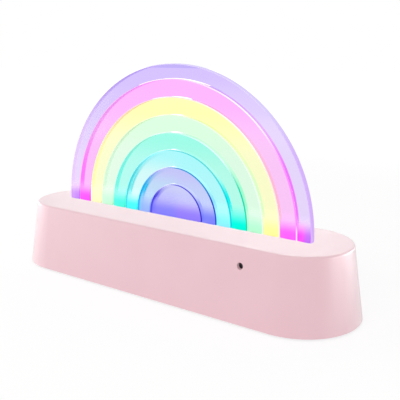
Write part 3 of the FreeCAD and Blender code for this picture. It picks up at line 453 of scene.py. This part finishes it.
def longEdges(bm, half):
    # edges along the arc, not those of the feet
    near = guideShape["near"]
    chosen = []
    for edge in bm.edges:
        outside = all(abs(abs(vert.co.y) - half) < near for vert in edge.verts)
        above = max(vert.co.z for vert in edge.verts) > baseTop + near
        if outside and above and edge.calc_face_angle(0.0) > guideShape["corner"]:
            chosen.append(edge)
    return chosen


def addTabs(bm, tabLow):
    # tabs that sit in the base's slots
    soles = []
    for face in bm.faces:
        atBase = abs(face.calc_center_median().z - baseTop) < guideShape["near"]
        if atBase and face.normal.z < -guideShape["downward"]:
            soles.append(face)
    bmesh.ops.inset_individual(bm, faces=soles, thickness=guideShape["shoulder"])
    for sole in soles:
        tab = bmesh.ops.extrude_face_region(bm, geom=[sole])["geom"]
        bmesh.ops.translate(bm, vec=(0, 0, tabLow - baseTop), verts=vertsOf(tab))
    bmesh.ops.delete(bm, geom=[face for face in soles if face.is_valid], context="FACES")


def markWall(bm, centre):
    # the second finish is for the outer wall and its bevels
    for face in bm.faces:
        spot = face.calc_center_median()
        out = Vector((spot.x, 0, spot.z - centre.z)).normalized()
        if spot.z > baseTop and face.normal.dot(out) > guideShape["outward"]:
            face.material_index = 1


def barMesh(inner, outer, half, tabLow):
    centre = Vector((0, 0, baseTop + guideShape["legRise"]))
    halfTurn = {"cent": centre, "axis": (0, -1, 0), "angle": math.pi, "steps": guideShape["steps"]}
    drop = (0, 0, -guideShape["legRise"])
    bm = bmesh.new()
    if inner > 0:
        archBar(bm, inner, outer, half, halfTurn, drop)
    else:
        halfDisc(bm, outer, half, halfTurn, drop)
    bmesh.ops.recalc_face_normals(bm, faces=bm.faces[:])
    bmesh.ops.bevel(
        bm,
        geom=longEdges(bm, half),
        offset=guideShape["bevel"],
        affect="EDGES",
        segments=guideShape["bevelSegments"],
        profile=0.5,
        material=-1,
    )
    addTabs(bm, tabLow)
    bmesh.ops.recalc_face_normals(bm, faces=bm.faces[:])
    markWall(bm, centre)
    return bm


sharpAngle = 20.0  # degrees; keeps the bars' faces flat up to their bevels


def makePiece(name, bm, finishes):
    mesh = bpy.data.meshes.new(name)
    bm.to_mesh(mesh)
    bm.free()
    for finish in finishes:
        mesh.materials.append(finish)
    mesh.polygons.foreach_set("use_smooth", [True] * len(mesh.polygons))
    mesh.set_sharp_from_angle(angle=math.radians(sharpAngle))
    piece = bpy.data.objects.new(name, mesh)
    scene.collection.objects.link(piece)
    return piece


inner = 0.0
for name, band in guideBands.items():
    low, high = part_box("guide_" + name)
    bm = barMesh(inner, high.x, high.y, low.z)
    inner = high.x + guideShape["gap"]
    finishes = [
        clearFinish("clear_" + name, band, high.x),
        wallFinish("wall_" + name, band, high.x, -high.y),
    ]
    bar = makePiece("bar_" + name, bm, finishes)
    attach(bar, "lamp")
    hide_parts("guide_" + name)
    # clear plastic lets the studio light through, and its tint stays off the satin base
    bar.visible_shadow = False
    bar.visible_diffuse = False
    bar.visible_glossy = False
print("light guides made,", len(guideBands), "bars")


# finishes of the carried-over pieces, by slot
finishBySlot = {
    "pink_shell": mouldedFinish(
        "satinPinkShell", (245, 203, 212), (243, 200, 209),
        rough=0.4, grain=1400.0, depth=0.00003, sheen=0.9),
    "pink_cover": mouldedFinish(
        "grainedPinkCover", (240, 204, 211), (236, 198, 206),
        rough=0.55, grain=900.0, depth=0.00006),
    "foot_rubber": mouldedFinish(
        "footRubber", (214, 208, 208), (202, 197, 198),
        rough=0.75, grain=1100.0, depth=0.00006, sheen=0.2),
    "screw_steel": metalFinish(
        "screwSteel", (196, 197, 200), (168, 170, 174),
        rough=0.3, cloud=300.0),
    "white_tray": mouldedFinish(
        "whiteTray", (246, 246, 244), (238, 238, 235),
        rough=0.5, grain=1000.0, depth=0.00004),
    "white_board": mouldedFinish(
        "whiteBoard", (240, 241, 238), (230, 232, 228),
        rough=0.35, grain=1300.0, depth=0.00002, coat=0.4),
    "light_package": mouldedFinish(
        "lightPackage", (247, 244, 226), (238, 232, 206),
        rough=0.3, grain=1500.0, depth=0.00002, coat=0.5),
    "green_board": mouldedFinish(
        "greenBoard", (38, 110, 66), (30, 92, 54),
        rough=0.35, grain=1300.0, depth=0.00002, coat=0.5),
    "black_parts": mouldedFinish(
        "blackParts", (38, 38, 40), (28, 28, 30),
        rough=0.45, grain=1200.0, depth=0.00003),
    "socket_metal": metalFinish(
        "socketMetal", (205, 206, 208), (182, 184, 188),
        rough=0.25, cloud=500.0),
    "button_plastic": mouldedFinish(
        "buttonPlastic", (247, 226, 230), (243, 219, 224),
        rough=0.35, grain=1500.0, depth=0.00002, coat=0.2),
    "switch_plastic": mouldedFinish(
        "switchPlastic", (236, 232, 226), (224, 220, 214),
        rough=0.4, grain=1200.0, depth=0.00002),
    "grommet_rubber": mouldedFinish(
        "grommetRubber", (58, 52, 55), (46, 41, 44),
        rough=0.7, grain=1100.0, depth=0.00005, sheen=0.2),
    "capsule_metal": metalFinish(
        "capsuleMetal", (190, 190, 192), (160, 161, 165),
        rough=0.35, cloud=400.0),
    "cell_sleeve": mouldedFinish(
        "cellSleeve", (72, 140, 196), (60, 124, 180),
        rough=0.3, grain=700.0, depth=0.00004, coat=0.4),
    "connector_white": mouldedFinish(
        "connectorWhite", (238, 236, 230), (228, 226, 219),
        rough=0.45, grain=1200.0, depth=0.00003),
    "lead_jacket": mouldedFinish(
        "leadJacket", (204, 62, 62), (188, 50, 52),
        rough=0.5, grain=1200.0, depth=0.00003),
}
for node in nodes.values():
    slot = node.data.materials[0].name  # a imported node's material carries its slot's name
    if slot in finishBySlot:
        node.data.materials[0] = finishBySlot[slot]
print("finishes set on", len(nodes) - len(guideBands), "carried-over nodes")


# floor and world: white to the camera and in glass, plain light on everything else
stageLook = {
    "floorSize": 8.0,
    "floorParts": 8,
    "drop": 0.0002,
    "cloudScale": 2.0,
    "cloudSpan": (0.3, 0.7),
    "tones": ((236, 236, 236), (240, 240, 240)),
    "rough": 0.9,
    "shadowTone": (150, 150, 150),
    "whiteSpan": (0.3, 2.0),  # metres from the middle
    "whiteRise": (0.75, 1.02),
    "ambient": 0.66,
}


def seenDirectly(tree):
    # 1 for what the camera, a reflection or glass looks at
    path = tree.nodes.new("ShaderNodeLightPath")
    most = path.outputs["Is Camera Ray"]
    for kind in ("Is Glossy Ray", "Is Transmission Ray"):
        both = tree.nodes.new("ShaderNodeMath")
        both.operation = "MAXIMUM"
        tree.links.new(most, both.inputs[0])
        tree.links.new(path.outputs[kind], both.inputs[1])
        most = both.outputs["Value"]
    return most


def floorFinish(name):
    finish = Finish(name)
    direct = seenDirectly(finish.tree)
    darker, paler = stageLook["tones"]
    cloud = finish.noise(stageLook["cloudScale"])
    plain = finish.ramp(cloud, stageLook["cloudSpan"], screen(*darker), screen(*paler))
    # white further out, a little below white near the object so that its shadow shows
    glow = finish.between(
        finish.length(finish.place), stageLook["whiteSpan"], *stageLook["whiteRise"], smooth=True)
    finish.link(
        Base_Color=finish.blend(direct, plain, screen(*stageLook["shadowTone"])),
        Emission_Strength=finish.calc("MULTIPLY", glow, direct),
    )
    finish.put(Roughness=stageLook["rough"], Specular_IOR_Level=0.0, Emission_Color=white)
    return finish.material


bm = bmesh.new()
parts = stageLook["floorParts"]
bmesh.ops.create_grid(bm, x_segments=parts, y_segments=parts, size=stageLook["floorSize"] / 2)
bmesh.ops.translate(bm, vec=(0, 0, -stageLook["drop"]), verts=bm.verts)
makePiece("floor", bm, [floorFinish("paleFloor")])

world = bpy.data.worlds.new("studio")
scene.world = world
world.use_nodes = True
worldTree = world.node_tree
background = worldTree.nodes["Background"]
background.inputs["Color"].default_value = white
strength = worldTree.nodes.new("ShaderNodeMapRange")
strength.inputs["To Min"].default_value = stageLook["ambient"]
strength.inputs["To Max"].default_value = 1.0
worldTree.links.new(seenDirectly(worldTree), strength.inputs["Value"])
worldTree.links.new(strength.outputs["Result"], background.inputs["Strength"])

# a soft box lights the object and shows in its gloss, unless it has shine or light turned off
softBoxes = {
    "key": {
        "at": (0.05, -1.0, 0.5), "to": (0.0, 0.0, 0.05),
        "size": (0.7, 0.5), "watts": 1.75,
    },
    "endFill": {
        "at": (0.6, -0.35, 0.25), "to": (0.11, 0.0, 0.03),
        "size": (0.3, 0.3), "watts": 0.38, "shine": False,
    },
    "rearFill": {
        "at": (0.0, 1.0, 0.1), "to": (0.0, 0.0, 0.04),
        "size": (0.7, 0.4), "watts": 1.3, "shine": False,
    },
    "leftLow": {
        "at": (-0.6, -0.1, 0.08), "to": (-0.11, 0.0, 0.03),
        "size": (0.5, 0.15), "watts": 1.2,
    },
    "leftWide": {
        "at": (-0.6, -0.35, 0.1), "to": (-0.11, 0.0, 0.03),
        "size": (0.3, 0.2), "watts": 0.4, "light": False,
    },
    "leftEdge": {
        "at": (-0.7, 0.05, 0.06), "to": (-0.12, 0.0, 0.03),
        "size": (0.3, 0.2), "watts": 1.5, "light": False,
    },
    "rightWide": {
        "at": (0.65, 0.12, 0.08), "to": (0.12, 0.0, 0.03),
        "size": (0.3, 0.2), "watts": 2.5, "light": False,
    },
    "rightEdge": {
        "at": (0.5, 0.5, 0.06), "to": (0.12, 0.0, 0.03),
        "size": (0.4, 0.2), "watts": 9.0, "light": False,
    },
    "gleam": {
        "at": (0.03, 0.62, 0.5), "to": (0.0, 0.0, 0.09),
        "size": (0.9, 0.35), "watts": 2.4, "light": False,
    },
    "gleamLeft": {
        "at": (-0.5, 0.7, 0.27), "to": (0.0, 0.0, 0.09),
        "size": (0.6, 0.3), "watts": 0.9, "light": False,
    },
}
for name, box in softBoxes.items():
    lamp = bpy.data.lights.new(name, "AREA")
    lamp.shape = "RECTANGLE"
    lamp.size, lamp.size_y = box["size"]
    lamp.energy = box["watts"]
    holder = bpy.data.objects.new(name, lamp)
    holder.location = box["at"]
    holder.rotation_euler = (Vector(box["to"]) - Vector(box["at"])).to_track_quat("-Z", "Y").to_euler()
    holder.visible_glossy = box.get("shine", True)
    holder.visible_diffuse = box.get("light", True)
    scene.collection.objects.link(holder)
print("stage and", len(softBoxes), "soft boxes set")


# camera at the photograph's view
cameraView = {
    "azimuth": 35.759,
    "elevation": 13.544,
    "target": (0.018481, 0.0, 0.05743),
    "distance": 0.387592,
    "lens": 55.962,
    "sensor": 36.0,
    "nearest": 0.01,
}
azimuth = math.radians(cameraView["azimuth"])
elevation = math.radians(cameraView["elevation"])
level = math.cos(elevation)
toCamera = Vector((math.sin(azimuth) * level, -math.cos(azimuth) * level, math.sin(elevation)))
lensData = bpy.data.cameras.new("view")
lensData.sensor_width = cameraView["sensor"]
lensData.lens = cameraView["lens"]
lensData.clip_start = cameraView["nearest"]
camera = bpy.data.objects.new("view", lensData)
camera.location = Vector(cameraView["target"]) + toCamera * cameraView["distance"]
camera.rotation_euler = (-toCamera).to_track_quat("-Z", "Y").to_euler()
scene.collection.objects.link(camera)
scene.camera = camera
print("camera set")
